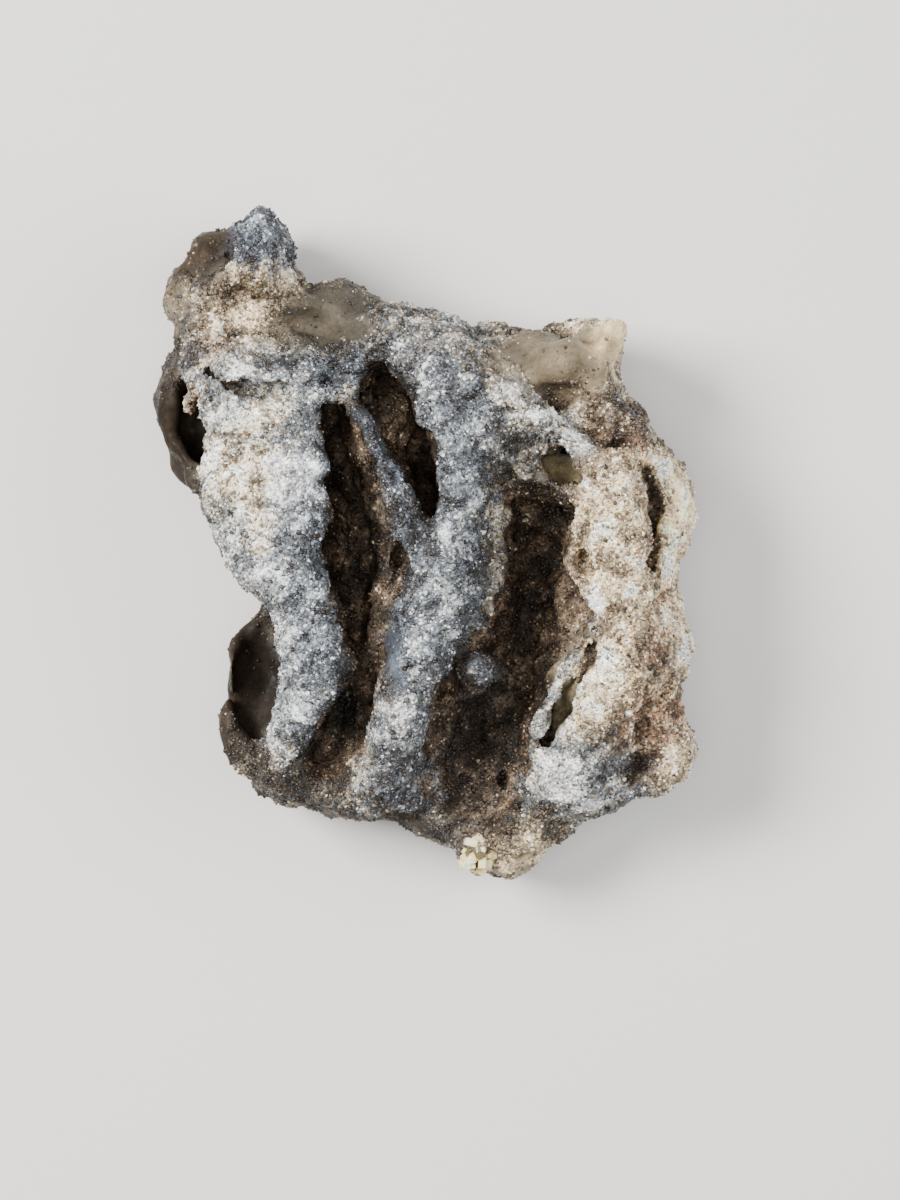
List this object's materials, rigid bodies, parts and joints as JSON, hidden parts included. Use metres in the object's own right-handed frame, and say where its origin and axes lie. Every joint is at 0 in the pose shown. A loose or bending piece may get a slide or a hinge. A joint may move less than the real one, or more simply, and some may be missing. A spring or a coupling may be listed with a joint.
{
  "type": "fulgurite",
  "caption": "Chunk of fulgurite, sand fused by lightning: parallel ridges with deep valleys between and hollow bores inside, lying on its back.",
  "frame": {"origin": "on the resting plane, under the middle of the outline seen from the front", "axes": "+Z out of the ridged front face, +Y along the ridges towards the end with the pinnacle, +X to the right seen from the front"},
  "size_m": [0.0514, 0.0624, 0.0267],
  "materials": {
    "fused_sand": "rough fused silica sand, sparkling, with smooth glassy patches and brown stain in the hollows"
  },
  "bodies": {
    "root": {"fulgurite": "fused_sand"}
  },
  "joints": []
}
